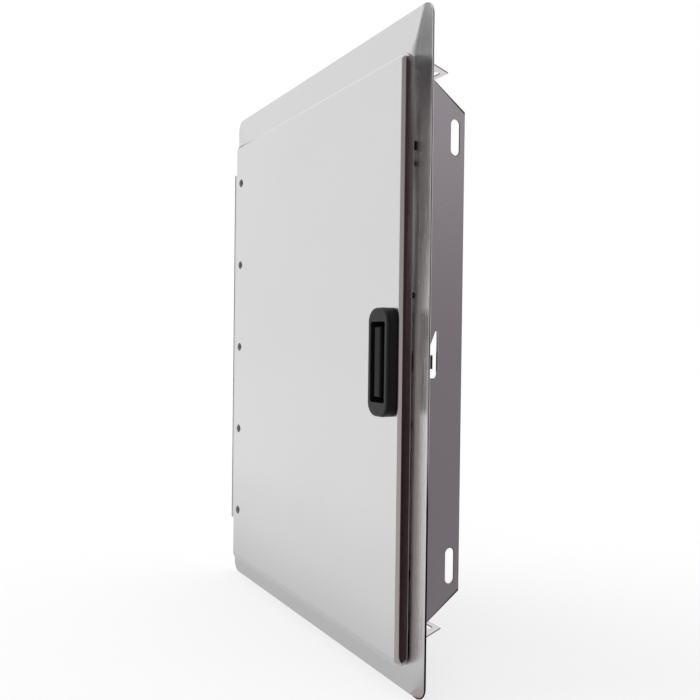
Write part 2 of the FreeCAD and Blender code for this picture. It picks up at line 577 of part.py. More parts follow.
def latch_housing():
    """Moulded bezel and body with the finger recess, and behind it the guide that the bolt slides in."""
    bezel = rounded_plate(HANDLE_WIDTH, HANDLE_HEIGHT, HANDLE_CORNER_RADIUS, HANDLE_FRONT, DOOR_FACE - GASKET,
                          HANDLE_X, HANDLE_Z)
    front = edges_where(bezel, lambda b: near(b.YMin, HANDLE_FRONT) and near(b.YLength, 0))
    bezel = bezel.makeFillet(HANDLE_EDGE_RADIUS, front)
    body = rounded_plate(BODY_WIDTH, BODY_HEIGHT, BODY_CORNER_RADIUS, DOOR_FACE - GASKET, LINER_FRONT,
                         HANDLE_X, HANDLE_Z)
    guide = block(GUIDE_LEFT, GUIDE_RIGHT, LINER_FRONT, GUIDE_END, HANDLE_Z - GUIDE_HEIGHT / 2,
                  HANDLE_Z + GUIDE_HEIGHT / 2)
    guide = guide.makeFillet(GUIDE_WALL / 2, edges_where(guide, lambda b: near(b.YMin, GUIDE_END)))
    housing = bezel.fuse([body, guide]).removeSplitter()
    recess = rounded_plate(RECESS_WIDTH, RECESS_HEIGHT, RECESS_CORNER_RADIUS, HANDLE_FRONT - 1, RECESS_FLOOR,
                           HANDLE_X, HANDLE_Z)
    housing = housing.cut(recess)
    rim = edges_where(housing, lambda b: near(b.YMin, HANDLE_FRONT) and near(b.YLength, 0)
                      and b.XMax < HANDLE_X + RECESS_WIDTH / 2 + 0.1 and b.XMin > HANDLE_X - RECESS_WIDTH / 2 - 0.1
                      and abs(b.ZMin - HANDLE_Z) < RECESS_HEIGHT / 2 + 0.1)
    housing = housing.makeFillet(RECESS_RIM_ROUND, rim)
    channel_half = BOLT_HEIGHT / 2 + SLIDE_CLEARANCE
    inner_left = GUIDE_LEFT + GUIDE_WALL
    stem_channel = block(STEM_LEFT - SLIDE_CLEARANCE, SLOT_IN_FLOOR_RIGHT, RECESS_FLOOR - 1, BOLT_FRONT,
                         HANDLE_Z - channel_half, HANDLE_Z + channel_half)
    bolt_channel = block(inner_left, SLOT_IN_FLOOR_RIGHT, BOLT_FRONT - SLIDE_CLEARANCE, GUIDE_END + 1,
                         HANDLE_Z - channel_half, HANDLE_Z + channel_half)
    housing = housing.cut([stem_channel, bolt_channel])
    return housing.cut(housing_screw_holes(SCREW_RADIUS + FASTENER_FIT, HOUSING_SCREW_TIP - 1, LINER_FRONT + 1))


def latch_gasket():
    ring = rounded_plate(HANDLE_WIDTH - 2 * GASKET_INSET, HANDLE_HEIGHT - 2 * GASKET_INSET,
                         HANDLE_CORNER_RADIUS - GASKET_INSET, DOOR_FACE - GASKET, DOOR_FACE, HANDLE_X, HANDLE_Z)
    return ring.cut(rounded_plate(BODY_WIDTH + 2 * BODY_FIT, BODY_HEIGHT + 2 * BODY_FIT,
                                  BODY_CORNER_RADIUS + BODY_FIT, DOOR_FACE - 1, DOOR_FACE + 1, HANDLE_X, HANDLE_Z))


def latch_back_plate():
    left = GUIDE_LEFT - PLATE_LEFT_MARGIN
    right = DOOR_RIGHT - DOOR_SHEET - RETURN_LIP - PLATE_LIP_GAP
    half = HOUSING_SCREW_OFFSET + PLATE_END_MARGIN
    plate = rounded_plate(right - left, 2 * half, PLATE_END_MARGIN / 2, LINER_REAR, PLATE_REAR,
                          (left + right) / 2, HANDLE_Z)
    hole_half = GUIDE_HEIGHT / 2 + BODY_FIT
    plate = plate.cut(block(GUIDE_LEFT - BODY_FIT, SLOT_IN_FLOOR_RIGHT + BODY_FIT, LINER_REAR - 1, PLATE_REAR + 1,
                            HANDLE_Z - hole_half, HANDLE_Z + hole_half))
    return plate.cut(housing_screw_holes(SCREW_RADIUS + FASTENER_FIT, LINER_REAR - 1, PLATE_REAR + 1))


def housing_screw(z):
    """Pan-headed screw from the back of the door into the housing."""
    head = post(SCREW_HEAD_RADIUS, PLATE_REAR, PLATE_REAR + SCREW_HEAD_HEIGHT, HANDLE_X, z)
    head = head.makeFillet(SCREW_HEAD_HEIGHT / 2,
                           edges_where(head, lambda b: near(b.YMin, PLATE_REAR + SCREW_HEAD_HEIGHT)
                                       and near(b.YLength, 0)))
    return head.fuse(post(SCREW_RADIUS, HOUSING_SCREW_TIP, PLATE_REAR, HANDLE_X, z)).removeSplitter()


def finger_slide():
    """Upright bar in the recess, with a scoop for the fingertips on the side that unlocks."""
    bar = block(BAR_LEFT, BAR_LEFT + BAR_WIDTH, BAR_FRONT, BAR_REAR,
                HANDLE_Z - BAR_HEIGHT / 2, HANDLE_Z + BAR_HEIGHT / 2)
    bar = bar.makeFillet(BAR_EDGE_RADIUS, edges_where(bar, lambda b: near(b.YMin, BAR_FRONT) and near(b.YLength, 0)))
    scoop_x = BAR_LEFT + BAR_WIDTH - FINGER_SCOOP_DEPTH + FINGER_SCOOP_RADIUS
    scoop_y = (BAR_FRONT + BAR_REAR) / 2 + FINGER_SCOOP_DEPTH
    bar = bar.cut(Part.makeCylinder(FINGER_SCOOP_RADIUS, BAR_HEIGHT + 2,
                                    Vector(scoop_x, scoop_y, HANDLE_Z - BAR_HEIGHT / 2 - 1)))
    screw_depth = slide_screw_seat() - SLIDE_SCREW_LENGTH
    return bar.cut(post(SCREW_RADIUS + FASTENER_FIT, screw_depth - FASTENER_FIT, BAR_REAR + 1, STEM_MIDDLE, HANDLE_Z))


def slide_screw_seat():
    return BOLT_FRONT + SCREW_RADIUS


def latch_bolt():
    """Deep blade with a stem to the bar, chamfered at its tip so that it finds the window."""
    low = HANDLE_Z - BOLT_HEIGHT / 2
    outline = [(STEM_LEFT, BAR_REAR), (STEM_RIGHT, BAR_REAR), (STEM_RIGHT, BOLT_FRONT),
               (NOSE_TIP - NOSE_CHAMFER, BOLT_FRONT), (NOSE_TIP, BOLT_FRONT + NOSE_CHAMFER),
               (NOSE_TIP, BOLT_REAR - NOSE_CHAMFER), (NOSE_TIP - NOSE_CHAMFER, BOLT_REAR), (BOLT_LEFT, BOLT_REAR),
               (BOLT_LEFT, BOLT_FRONT), (STEM_LEFT, BOLT_FRONT)]
    bolt = prism([(x, y, low) for x, y in outline], (0, 0, BOLT_HEIGHT))
    bolt = bolt.cut(post(SCREW_HEAD_RADIUS + FASTENER_FIT, slide_screw_seat(), BOLT_REAR + 1, STEM_MIDDLE, HANDLE_Z))
    bolt = bolt.cut(post(SCREW_RADIUS + FASTENER_FIT, BAR_REAR - 1, BOLT_REAR, STEM_MIDDLE, HANDLE_Z))
    pocket_y = (BOLT_FRONT + BOLT_REAR) / 2
    half_length = SPRING_LENGTH / 2 + SLIDE_CLEARANCE
    half_width = SPRING_WIDTH / 2 + SLIDE_CLEARANCE
    return bolt.cut(block(STEM_MIDDLE - half_length, STEM_MIDDLE + half_length, pocket_y - half_width,
                          pocket_y + half_width, low - 1, low + SPRING_POCKET))


def slide_screw():
    seat = slide_screw_seat()
    head = post(SCREW_HEAD_RADIUS, seat, seat + SCREW_HEAD_HEIGHT, STEM_MIDDLE, HANDLE_Z)
    head = head.makeFillet(SCREW_HEAD_HEIGHT / 2,
                           edges_where(head, lambda b: near(b.YMin, seat + SCREW_HEAD_HEIGHT) and near(b.YLength, 0)))
    return head.fuse(post(SCREW_RADIUS, seat - SLIDE_SCREW_LENGTH, seat, STEM_MIDDLE, HANDLE_Z)).removeSplitter()


def friction_spring():
    """Bowed strip in the blade's pocket, ends against the blade and crown towards the guide."""
    crown = HANDLE_Z - BOLT_HEIGHT / 2
    rise = SPRING_POCKET - SPRING_SHEET
    half = SPRING_LENGTH / 2
    radius = (half ** 2 + rise ** 2) / (2 * rise)
    centre_z = crown + radius + SPRING_SHEET
    y = (BOLT_FRONT + BOLT_REAR) / 2 - SPRING_WIDTH / 2
    base = Vector(STEM_MIDDLE, y, centre_z)
    outer = Part.makeCylinder(radius + SPRING_SHEET, SPRING_WIDTH, base, Vector(0, 1, 0))
    strip = outer.cut(Part.makeCylinder(radius, SPRING_WIDTH, base, Vector(0, 1, 0)))
    return strip.common(block(STEM_MIDDLE - half, STEM_MIDDLE + half, y, y + SPRING_WIDTH,
                              crown, crown + SPRING_POCKET))


os.makedirs("parts", exist_ok=True)

upper_wall = top_wall()
frame_holes = [post(RIVET_SHANK_RADIUS, FLANGE_FRONT - 1, 1, AXIS_X + FRAME_RIVET_FROM_BARREL, z)
               for z in rivet_heights(RIVET_COUNT, RIVET_PITCH)]

export(face_frame().cut(frame_holes), "face_frame")
export(upper_wall, "top_wall")
export(mirrored(upper_wall, Vector(0, 0, 1)), "bottom_wall")
export(hinge_frame_leaf(), "hinge_frame_leaf")
export(hinge_pin(), "hinge_pin")
export(Part.makeCompound([flat_rivet(z) for z in rivet_heights(RIVET_COUNT, RIVET_PITCH)]), "frame_hinge_rivets")

export(door_skin(), "door_skin")
export(door_liner(), "door_liner")
export(hinge_door_leaf(), "hinge_door_leaf")
export(Part.makeCompound([domed_rivet(z) for z in rivet_heights(RIVET_COUNT, RIVET_PITCH)]), "door_hinge_rivets")
export(Part.makeCompound([liner_rivet(x, z) for x, z in liner_rivet_places()]), "liner_rivets")
export(Part.makeCompound([bumper(x, z) for x, z in bumper_places()]), "door_bumpers")

export(latch_housing(), "latch_housing")
export(latch_gasket(), "latch_gasket")
export(latch_back_plate(), "latch_back_plate")
screw_heights = (HANDLE_Z - HOUSING_SCREW_OFFSET, HANDLE_Z + HOUSING_SCREW_OFFSET)
export(Part.makeCompound([housing_screw(z) for z in screw_heights]), "latch_screws")

export(finger_slide(), "finger_slide")
export(latch_bolt(), "latch_bolt")
export(slide_screw(), "slide_screw")
export(friction_spring(), "friction_spring")
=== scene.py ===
"""Looks of a stainless access door for an outdoor kitchen island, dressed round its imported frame.

Metres. The object stands upright on the floor as in the photograph, with its face towards -Y.
"""

from math import pi, radians

import bmesh
import bpy
from mathutils import Matrix, Vector


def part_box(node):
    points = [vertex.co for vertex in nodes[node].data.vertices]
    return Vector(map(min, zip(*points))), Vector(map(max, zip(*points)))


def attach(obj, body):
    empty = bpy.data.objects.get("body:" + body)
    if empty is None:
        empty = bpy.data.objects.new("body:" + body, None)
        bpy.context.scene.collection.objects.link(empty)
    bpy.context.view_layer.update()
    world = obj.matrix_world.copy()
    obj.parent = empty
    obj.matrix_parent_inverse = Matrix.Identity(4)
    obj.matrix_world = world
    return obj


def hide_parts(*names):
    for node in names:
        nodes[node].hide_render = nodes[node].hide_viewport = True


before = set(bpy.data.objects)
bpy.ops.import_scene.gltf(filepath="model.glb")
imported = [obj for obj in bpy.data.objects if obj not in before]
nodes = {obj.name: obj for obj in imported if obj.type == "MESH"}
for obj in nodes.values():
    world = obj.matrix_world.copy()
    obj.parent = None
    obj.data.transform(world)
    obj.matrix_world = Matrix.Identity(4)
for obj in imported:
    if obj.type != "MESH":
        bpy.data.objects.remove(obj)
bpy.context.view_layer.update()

MM = 0.001

# Photograph's standpoint, worked out from the corners and rivets of the door
VIEW_PLACE = (0.7219, -0.3654, 0.0085)
VIEW_TURN = 60.39
VIEW_RISE = -0.646
VIEW_ROLL = 0.705
VIEW_LENS = 39.755
SENSOR_WIDTH = 36.0

# Colours of the bare finishes
STAINLESS = (0.66, 0.66, 0.662)
BOX_STAINLESS = (0.60, 0.585, 0.60)
CUT_EDGE = (0.20, 0.18, 0.165)
ZINC = (0.56, 0.56, 0.55)
SPRING_STEEL = (0.42, 0.41, 0.40)
DULL_STEEL = (0.17, 0.165, 0.16)
# Near black of the painted shade on the hem and on the hinge's knuckles
PAINTED_SHADE_BLACK = (0.036, 0.034, 0.034)
PLASTIC = (0.009, 0.009, 0.011)
DUST = (0.16, 0.16, 0.16)
RUBBER = (0.012, 0.012, 0.012)

# Stretch of a brushed grain, high across its hairlines and low along them
UPRIGHT_GRAIN = (2200.0, 2200.0, 14.0)
LEVEL_GRAIN = (14.0, 30.0, 2200.0)

# Faces and edges that the frame gives
FRAME_LOW, FRAME_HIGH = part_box("face_frame")
END_WALL_LOW, END_WALL_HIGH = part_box("top_wall")
DOOR_LOW, DOOR_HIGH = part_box("door_skin")
PLATE_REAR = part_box("latch_back_plate")[1].y
MITRE = FRAME_HIGH.z - FRAME_HIGH.x

# Slots of the box walls
SLOT_HALF_RUN = 11.05 * MM
SLOT_RADIUS = 4.65 * MM
SLOT_FROM_REAR = 10.2 * MM

# Slots and cut off corners of each kind of box wall. The line along the side wall's corner leaves the solid's
# edge by 2 mm at the rear, so that the bare edge widens there.
SIDE_WALL = {"rear": FRAME_HIGH.y, "slot_centre": 187.2 * MM,
             "corner_run": 236.75 * MM, "corner_y": 19 * MM, "slope": 28.0 / 38.0}
END_WALL = {"rear": END_WALL_HIGH.y, "slot_centre": 132.9 * MM,
            "corner_run": END_WALL_HIGH.x, "corner_y": 2 * MM, "slope": 26.7 / 56.0}

# Distances from a cut between which its bare edge fades
SLOT_RIM = (0.1 * MM, 0.5 * MM)
REAR_RIM = (0.1 * MM, 0.4 * MM)
CORNER_RIM = (0.2 * MM, 0.6 * MM)

# Twist of the flange's right strip: two ranges of height with the slope that each adds at its low and its
# high end, the upright line that the strip turns about, and the soft line where the twist starts, which
# slants outwards above the door
LOW_TWIST = (-0.02, 0.12, 0.0, 0.15)
HIGH_TWIST = (0.17, 0.262, 0.0, 0.23)
TWIST_AXIS = 0.195
BEND_START = 0.1735
BEND_END = 0.1895
BEND_SLANT = 0.42

# Depth of the rolled hem, and the heights between which the painted shade on its lower half fades
HEM = 0.75 * MM
HEM_PAINTED_SHADE = (-0.13, -0.08)

# Slope of the door's folded sides
DRAFT = 0.176

# Distances from the pin's axis between which the painted shade on the knuckles fades
KNUCKLE_PAINTED_SHADE = (3.1 * MM, 3.6 * MM)


# Shader maths

class Wire:
    """One output of a shader node. Arithmetic on it adds Math nodes."""

    def __init__(self, finish, socket):
        self.finish = finish
        self.socket = socket

    def maths(self, operation, *values):
        return self.finish.node("ShaderNodeMath", dict(enumerate(values)), operation=operation)

    def __add__(self, other):
        return self.maths("ADD", self, other)

    __radd__ = __add__

    def __mul__(self, other):
        return self.maths("MULTIPLY", self, other)

    __rmul__ = __mul__

    def __sub__(self, other):
        return self.maths("SUBTRACT", self, other)

    def __rsub__(self, other):
        return self.maths("SUBTRACT", other, self)

    def __abs__(self):
        return self.maths("ABSOLUTE", self)

    def at_least(self, other):
        return self.maths("MAXIMUM", self, other)


class Finish:
    """Nodes that make the surface of a new material, or the surroundings of a new world."""

    def __init__(self, owner):
        owner.use_nodes = True
        self.owner = owner
        self.tree = owner.node_tree
        self.tree.nodes.clear()

    def node(self, kind, inputs=None, output=0, stops=None, **settings):
        """Add a node: its settings come first, then a ramp's stops, then what goes into its sockets."""
        made = self.tree.nodes.new(kind)
        for setting, value in settings.items():
            setattr(made, setting, value)
        if stops:
            ramp = made.color_ramp
            while len(ramp.elements) < len(stops):
                ramp.elements.new(1.0)
            for element, (position, colour) in zip(ramp.elements, stops):
                element.position = position
                element.color = (*colour, 1.0)
        for key, value in (inputs or {}).items():
            if isinstance(value, Wire):
                self.tree.links.new(value.socket, made.inputs[key])
            else:
                made.inputs[key].default_value = value
        return Wire(self, made.outputs[output])

    def along(self, axis):
        """One of the object's own coordinates, in metres."""
        coordinates = self.node("ShaderNodeTexCoord", output="Object")
        return self.node("ShaderNodeSeparateXYZ", {0: coordinates}, output=axis)

    def noise(self, stretch, scale, detail=3.0, roughness=0.5):
        """Noise on Object coordinates, squeezed along the axes that its pattern runs across."""
        coordinates = self.node("ShaderNodeTexCoord", output="Object")
        place = self.node("ShaderNodeMapping", {"Vector": coordinates, "Scale": stretch})
        return self.node("ShaderNodeTexNoise", {"Vector": place, "Scale": scale, "Detail": detail,
                                                "Roughness": roughness})

    def spread(self, value, low, high, new_low=0.0, new_high=1.0):
        """Smooth step from one range to another."""
        limits = {"From Min": low, "From Max": high, "To Min": new_low, "To Max": new_high}
        return self.node("ShaderNodeMapRange", {"Value": value, **limits}, interpolation_type="SMOOTHSTEP")

    def fade(self, value, low, high):
        """Smooth step down from one to zero."""
        return self.spread(value, low, high, 1.0, 0.0)

    def blend(self, share, first, second):
        """Colour mix; colours are triples or wires."""
        def colour(value):
            return value if isinstance(value, Wire) else (*value, 1.0)
        return self.node("ShaderNodeMix", {0: share, 6: colour(first), 7: colour(second)}, output=2,
                         data_type="RGBA")

    def between(self, share, first, second):
        """Number mix."""
        return self.node("ShaderNodeMix", {0: share, 2: first, 3: second})

    def mixed_normal(self, share, first, second):
        return self.node("ShaderNodeMix", {0: share, 4: first, 5: second}, output=1, data_type="VECTOR")

    def relief(self, height, depth, strength=1.0, over=None):
        inputs = {"Height": height, "Distance": depth, "Strength": strength}
        if over:
            inputs["Normal"] = over
        return self.node("ShaderNodeBump", inputs)

    def surface(self, **sockets):
        """Principled shader of the material, its sockets' names written with underscores."""
        self.show(self.node("ShaderNodeBsdfPrincipled", {name.replace("_", " "): value
                                                         for name, value in sockets.items()}))
        return self.owner

    def show(self, shader, kind="ShaderNodeOutputMaterial"):
        output = self.tree.nodes.new(kind)
        self.tree.links.new(shader.socket, output.inputs["Surface"])


def new_finish(name):
    return Finish(bpy.data.materials.new(name))


# Solids of a node

def solid_boxes(name):
    """Lowest and highest corner of every separate solid of a node, from the bottom up."""
    shape = bmesh.new()
    shape.from_mesh(nodes[name].data)
    bmesh.ops.remove_doubles(shape, verts=shape.verts, dist=0.01 * MM)
    waiting = set(shape.verts)
    boxes = []
    while waiting:
        solid = [waiting.pop()]
        for vert in solid:
            for edge in vert.link_edges:
                other = edge.other_vert(vert)
                if other in waiting:
                    waiting.remove(other)
                    solid.append(other)
        boxes.append([Vector([pick(vert.co[axis] for vert in solid) for axis in range(3)])
                      for pick in (min, max)])
    shape.free()
    return sorted(boxes, key=lambda box: (round(box[0].z, 4), box[0].x))


# Finishes

def scaled(colour, factor):
    return tuple(min(1.0, channel * factor) for channel in colour)


def coarser(grain, times):
    return tuple(axis / times for axis in grain)


def hypotenuse(first, second):
    squares = first * first + second * second
    return squares.maths("SQRT", squares)


def brushed(finish, colour, grain, roughness, edges=None, cut=0.02 * MM, tilt=None):
    """Paint, gloss and relief of brushed sheet. Grain is the stretch that makes the hairlines run one way,
    cut is their depth, edges is a mask of bare cut edges, and tilt is a height that leans the sheet, with the
    share of it that counts."""
    hairs = finish.noise(grain, 1.0, detail=2.0, roughness=0.6)
    streaks = finish.noise(coarser(grain, 7), 1.0, detail=3.0)
    scratches = finish.spread(finish.noise(coarser(grain, 2.5), 1.0, detail=1.0), 0.70, 0.76)
    clouds = finish.noise((1, 1, 1), 7.0, detail=3.0)
    smudges = finish.spread(finish.noise((1, 1, 1), 24.0, detail=5.0, roughness=0.6), 0.5, 0.78)
    tone = (hairs - 0.5) * 0.35 + (streaks - 0.5) * 0.12 + (clouds - 0.5) * 0.4 + 0.5
    paint = finish.blend(tone, scaled(colour, 0.94), scaled(colour, 1.06))
    gloss = (hairs - 0.5) * 0.07 + (streaks - 0.5) * 0.05 + smudges * 0.05 + scratches * 0.06 + roughness
    if edges:
        paint = finish.blend(edges, paint, CUT_EDGE)
        gloss = finish.between(edges, gloss, 0.5)
    dents = finish.relief(clouds, 0.15 * MM)
    if tilt:
        height, share = tilt
        dents = finish.mixed_normal(share, dents, finish.relief(height, 1.0, over=dents))
    lines = finish.relief(hairs + streaks * 0.4 - scratches * 0.8, cut, over=dents)
    return paint, gloss, lines


def bare_metal(finish, paint, gloss, lines, metallic=1.0):
    return finish.surface(Base_Color=paint, Metallic=metallic, Roughness=gloss, Normal=lines)


def wall_edges(finish, run, rear, slot_centre, corner_run, corner_y, slope):
    """Mask of the bare edges of a box wall: round its slots, along its rear and along its cut off corners.
    Run is the coordinate that the wall runs along, and the wall is the same on both sides of zero."""
    y = finish.along("Y")
    beyond = (abs(abs(run) - slot_centre) - SLOT_HALF_RUN).at_least(0.0)
    from_slot = hypotenuse(beyond, y - (rear - SLOT_FROM_REAR)) - SLOT_RADIUS
    from_corner = corner_run - abs(run) - (y - corner_y) * slope
    slots = finish.fade(from_slot, *SLOT_RIM)
    behind = finish.fade(rear - y, *REAR_RIM)
    corners = finish.fade(from_corner, *CORNER_RIM)
    return slots.at_least(behind).at_least(corners)


def strip_tilt(finish, x, z):
    """Height that leans the flange's right strip, more and more towards its top, and the share of it that
    counts."""
    twist = finish.spread(z, *LOW_TWIST) + finish.spread(z, *HIGH_TWIST)
    beyond_bend = x - (z - DOOR_HIGH.z).at_least(0.0) * BEND_SLANT
    return (x - TWIST_AXIS) * twist, finish.spread(beyond_bend, BEND_START, BEND_END)


def face_frame_steel():
    """Hairlines that follow the flange round its mitred corners, level ones on the folded walls, bare cut
    edges, and a right hem with painted shade: its lower half is painted near black."""
    finish = new_finish("brushed_frame_sheet")
    x, y, z = (finish.along(axis) for axis in "XYZ")
    walls = finish.spread(y, 0.2 * MM, 1.0 * MM)
    level = finish.spread(abs(z) - abs(x), MITRE - 0.3 * MM, MITRE + 0.3 * MM)
    edges = wall_edges(finish, z, **SIDE_WALL) * walls
    tilt = strip_tilt(finish, x, z)
    upright = brushed(finish, STAINLESS, UPRIGHT_GRAIN, roughness=0.20, cut=0.10 * MM, tilt=tilt)
    across = brushed(finish, STAINLESS, LEVEL_GRAIN, roughness=0.20, cut=0.06 * MM, tilt=tilt)
    side = brushed(finish, BOX_STAINLESS, LEVEL_GRAIN, roughness=0.21, edges=edges)
    hem = finish.spread(x, FRAME_HIGH.x - HEM, FRAME_HIGH.x - HEM + 0.3 * MM)
    # Painted shade: the lower half of the right hem is painted near black
    painted_hem_shade = hem * finish.fade(z, *HEM_PAINTED_SHADE)
    paint = finish.blend(walls, finish.blend(level, upright[0], across[0]), side[0])
    gloss = finish.between(walls, finish.between(level, upright[1], across[1]), side[1])
    lines = finish.mixed_normal(walls, finish.mixed_normal(level, upright[2], across[2]), side[2])
    return bare_metal(finish, finish.blend(painted_hem_shade, paint, PAINTED_SHADE_BLACK), gloss, lines)


def door_steel():
    """Brushed sheet of the pan, whose folded sides lean out a little towards the flange."""
    finish = new_finish("brushed_door_sheet")
    lean = finish.along("Y") * DRAFT
    return bare_metal(finish, *brushed(finish, STAINLESS, UPRIGHT_GRAIN, roughness=0.16, tilt=(lean, 1.0)))


def end_wall_steel():
    """Mill finish with bare edges round the slots, along the rear and along the tapered ends."""
    finish = new_finish("mill_finish_wall")
    edges = wall_edges(finish, finish.along("X"), **END_WALL)
    return bare_metal(finish, *brushed(finish, BOX_STAINLESS, LEVEL_GRAIN, roughness=0.24, edges=edges))


def liner_steel():
    """Plain mill finish of the sheet inside the door."""
    finish = new_finish("mill_finish_liner")
    return bare_metal(finish, *brushed(finish, BOX_STAINLESS, UPRIGHT_GRAIN, roughness=0.30))


def hinge_steel():
    """Rolled strip of the leaves, and their knuckles, which are darkened round the pin with painted shade."""
    finish = new_finish("hinge_strip")
    pin = sum(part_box("hinge_pin"), Vector()) / 2
    from_pin = hypotenuse(finish.along("X") - pin.x, finish.along("Y") - pin.y)
    # Painted shade: the knuckles round the pin are painted near black, rougher and less metallic
    knuckles = finish.fade(from_pin, *KNUCKLE_PAINTED_SHADE)
    paint, gloss, lines = brushed(finish, scaled(STAINLESS, 0.9), UPRIGHT_GRAIN, roughness=0.24)
    paint = finish.blend(knuckles, paint, PAINTED_SHADE_BLACK)
    gloss = finish.between(knuckles, gloss, 0.7)
    return bare_metal(finish, paint, gloss, lines, metallic=finish.between(knuckles, 1.0, 0.3))


def turned_steel(name, colour, roughness):
    """Plated or wire steel of pins, screws and rivets."""
    finish = new_finish(name)
    pits = finish.noise((1, 1, 1), 900.0, detail=3.0)
    bands = finish.noise((60, 60, 1500), 1.0, detail=2.0)
    dull = finish.noise((1, 1, 1), 120.0, detail=4.0)
    paint = finish.blend(finish.spread(dull, 0.35, 0.7), scaled(colour, 0.82), colour)
    gloss = finish.spread(dull, 0.3, 0.7, roughness - 0.06, roughness + 0.10)
    return bare_metal(finish, paint, gloss, finish.relief(pits * 0.6 + bands * 0.4, 0.04 * MM, 0.4))


def moulded_plastic(name, colour, roughness, shine):
    """Moulded nylon with spark-eroded grain, faint flow lines and a little dust."""
    finish = new_finish(name)
    grain = finish.noise((1, 1, 1), 2600.0, detail=2.0, roughness=0.7)
    flow = finish.noise((1, 1, 0.3), 60.0, detail=4.0)
    dust = finish.noise((1, 1, 1), 700.0, detail=5.0, roughness=0.7)
    paint = finish.blend(finish.spread(flow, 0.35, 0.7, 0.0, 0.6), colour, scaled(colour, 1.6))
    paint = finish.blend(finish.spread(dust, 0.64, 0.8, 0.0, 0.06), paint, DUST)
    gloss = finish.spread(flow, 0.3, 0.7, roughness - 0.05, roughness + 0.06) + (grain - 0.5) * 0.12
    return finish.surface(Base_Color=paint, Roughness=gloss, Specular_IOR_Level=shine,
                          Normal=finish.relief(grain, 0.05 * MM, 0.5))


def soft_rubber(name, colour):
    """Dull rubber with fine pores and a pale bloom in patches."""
    finish = new_finish(name)
    pores = finish.noise((1, 1, 1), 1500.0, detail=4.0, roughness=0.65)
    bloom = finish.noise((1, 1, 1), 180.0, detail=3.0)
    paint = finish.blend(finish.spread(bloom, 0.45, 0.75, 0.0, 0.6), colour, scaled(colour, 2.4))
    gloss = finish.spread(bloom, 0.3, 0.7, 0.72, 0.88)
    return finish.surface(Base_Color=paint, Roughness=gloss, Normal=finish.relief(pores, 0.06 * MM, 0.5))


door_sheet = door_steel()
frame_sheet = face_frame_steel()
wall_sheet = end_wall_steel()
inner_sheet = liner_steel()
leaf_sheet = hinge_steel()
rivet_steel = turned_steel("rivet_steel", ZINC, 0.24)
dark_rivet_steel = turned_steel("dull_rivet_steel", DULL_STEEL, 0.34)
pin_steel = turned_steel("drawn_pin_wire", ZINC, 0.25)
plate_steel = turned_steel("zinc_plate", ZINC, 0.36)
strip_steel = turned_steel("blued_spring_strip", SPRING_STEEL, 0.28)
nylon = moulded_plastic("black_nylon", PLASTIC, 0.42, 0.32)
# Painted shade: a copy of the nylon for the finger slide that reflects less, so that it looks darker down in
# its recess
shaded_bar_nylon = moulded_plastic("nylon_dimmed_for_painted_shade", PLASTIC, 0.36, 0.14)
rubber = soft_rubber("black_rubber", RUBBER)

FINISH_OF = {
    "face_frame": frame_sheet, "top_wall": wall_sheet, "bottom_wall": wall_sheet,
    "hinge_frame_leaf": leaf_sheet, "hinge_door_leaf": leaf_sheet, "hinge_pin": pin_steel,
    "frame_hinge_rivets": rivet_steel, "door_hinge_rivets": dark_rivet_steel, "liner_rivets": rivet_steel,
    "door_skin": door_sheet, "door_liner": inner_sheet, "door_bumpers": rubber,
    "latch_housing": nylon, "latch_gasket": rubber, "latch_back_plate": plate_steel,
    "latch_screws": rivet_steel, "finger_slide": shaded_bar_nylon, "latch_bolt": nylon, "slide_screw": rivet_steel,
    "friction_spring": strip_steel,
}
for node_name, material in FINISH_OF.items():
    mesh = nodes[node_name].data
    mesh.materials.clear()
    mesh.materials.append(material)


# Fasteners and weld marks, their profiles in millimetres

SHARP_ANGLE = 38
SCREW_HEAD_HEIGHT = 2.0
BACK_PLATE_SCREW_LENGTH = 14.0
BLADE_SCREW_LENGTH = 30.0


def turned(profile, segments=32):
    """Profile of (radius, height) pairs, spun round the Y axis."""
    shape = bmesh.new()
    verts = [shape.verts.new((radius * MM, height * MM, 0)) for radius, height in profile]
    edges = [shape.edges.new(pair) for pair in zip(verts, verts[1:])]
    bmesh.ops.spin(shape, geom=verts + edges, cent=(0, 0, 0), axis=(0, 1, 0), angle=2 * pi, steps=segments,
                   use_merge=True)
    bmesh.ops.remove_doubles(shape, verts=shape.verts, dist=0.0005 * MM)
    return shape


def cross_recess(shape, rim_radius, top, depth):
    """Close the open top of a screw's head with a face that has a cross-shaped recess."""
    arm, width, floor_share = 0.72 * rim_radius, 0.20 * rim_radius, 0.6
    quarter = [(width, arm), (width, width), (arm, width)]
    outline = []
    for turn in range(4):
        for x, z in quarter:
            for _ in range(turn):
                x, z = z, -x
            outline.append((x, z))
    rim = [edge for edge in shape.edges if edge.is_boundary]
    verts = [shape.verts.new((x * MM, top * MM, z * MM)) for x, z in outline]
    mouth = [shape.edges.new((a, b)) for a, b in zip(verts, verts[1:] + verts[:1])]
    bmesh.ops.triangle_fill(shape, use_beauty=True, edges=rim + mouth, normal=(0, 1, 0))
    pulled = bmesh.ops.extrude_edge_only(shape, edges=mouth)["geom"]
    floor_verts = [item for item in pulled if isinstance(item, bmesh.types.BMVert)]
    floor_edges = [item for item in pulled if isinstance(item, bmesh.types.BMEdge) and item.is_boundary]
    bmesh.ops.translate(shape, verts=floor_verts, vec=(0, -depth * MM, 0))
    bmesh.ops.scale(shape, verts=floor_verts, vec=(floor_share, 1, floor_share))
    bmesh.ops.edgeloop_fill(shape, edges=floor_edges)


